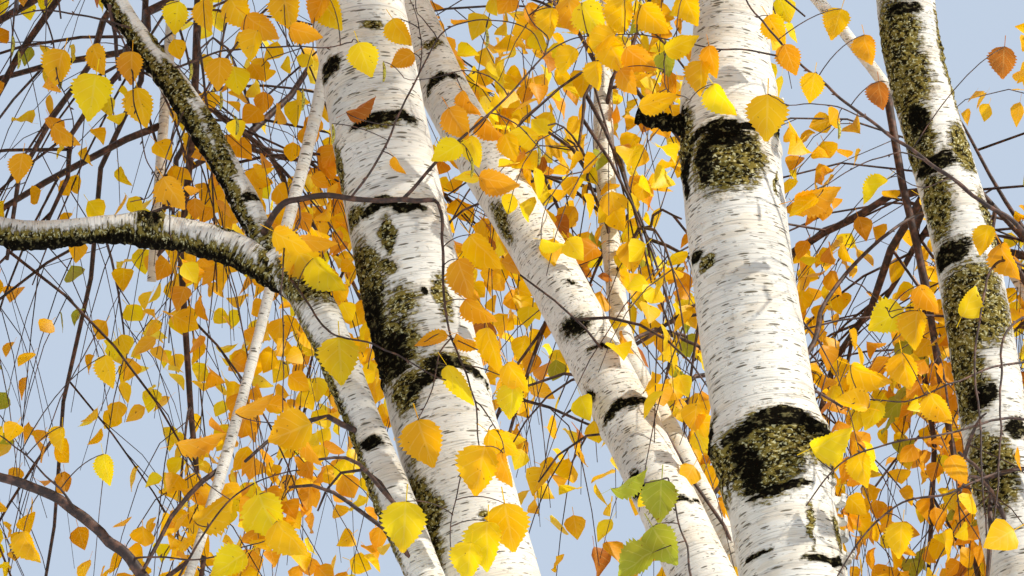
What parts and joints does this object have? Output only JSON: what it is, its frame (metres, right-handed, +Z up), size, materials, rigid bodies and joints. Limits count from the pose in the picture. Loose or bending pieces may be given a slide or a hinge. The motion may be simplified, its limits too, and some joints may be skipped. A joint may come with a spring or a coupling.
{
  "type": "white birch tree",
  "caption": "Clump of slender white birch stems that leave one flared foot and lean, with forked limbs, arching boughs and a weeping crown of golden autumn leaves.",
  "frame": {"origin": "in the flat cut at ground level, under the middle of the foot that all stems leave", "axes": "+Z up along the tree's height; seen along +Y, the picture's direction, the stems lean towards -X"},
  "size_m": [6.0969, 6.2859, 13.1156],
  "materials": {
    "white_birch_bark": "satin papery bark",
    "rough_root_bark": "rough, fissured",
    "dark_twig_bark": "matte",
    "autumn_leaves": "thin, slightly glossy leaves"
  },
  "bodies": {
    "root": {"back_fork": "white_birch_bark", "bough_fringe_1": "white_birch_bark", "bough_fringe_2": "white_birch_bark", "bough_fringe_3": "white_birch_bark", "bough_shoulder_11": "white_birch_bark", "bough_shoulder_12": "white_birch_bark", "bough_shoulder_13": "white_birch_bark", "bough_shoulder_14": "white_birch_bark", "bough_shoulder_16": "white_birch_bark", "bough_skirt_10": "white_birch_bark", "bough_skirt_4": "white_birch_bark", "bough_skirt_5": "white_birch_bark", "bough_skirt_6": "white_birch_bark", "bough_skirt_7": "white_birch_bark", "bough_skirt_8": "white_birch_bark", "bough_skirt_9": "white_birch_bark", "bough_upper_18": "white_birch_bark", "dead_snag": "dark_twig_bark", "foliage_fringe_1": "autumn_leaves", "foliage_fringe_2": "autumn_leaves", "foliage_fringe_3": "autumn_leaves", "foliage_leaves_before_left_stem": "autumn_leaves", "foliage_leaves_before_right_stem": "autumn_leaves", "foliage_leaves_on_hanging_bough": "autumn_leaves", "foliage_leaves_on_rising_bough": "autumn_leaves", "foliage_shoulder_1": "autumn_leaves", "foliage_shoulder_2": "autumn_leaves", "foliage_shoulder_3": "autumn_leaves", "foliage_shoulder_4": "autumn_leaves", "foliage_shoulder_5": "autumn_leaves", "foliage_shoulder_6": "autumn_leaves", "foliage_skirt_1": "autumn_leaves", "foliage_skirt_2": "autumn_leaves", "foliage_skirt_3": "autumn_leaves", "foliage_skirt_4": "autumn_leaves", "foliage_skirt_5": "autumn_leaves", "foliage_skirt_6": "autumn_leaves", "foliage_skirt_7": "autumn_leaves", "foliage_top_back": "autumn_leaves", "foliage_top_left": "autumn_leaves", "foliage_top_middle": "autumn_leaves", "foliage_top_right": "autumn_leaves", "foliage_upper_1": "autumn_leaves", "foliage_upper_2": "autumn_leaves", "foliage_upper_3": "autumn_leaves", "foliage_upper_4": "autumn_leaves", "foot": "rough_root_bark", "fork_limb": "white_birch_bark", "hanging_bough": "white_birch_bark", "level_bough": "white_birch_bark", "rising_bough": "white_birch_bark", "stem_back": "white_birch_bark", "stem_left": "white_birch_bark", "stem_middle": "white_birch_bark", "stem_right": "white_birch_bark"}
  },
  "joints": []
}
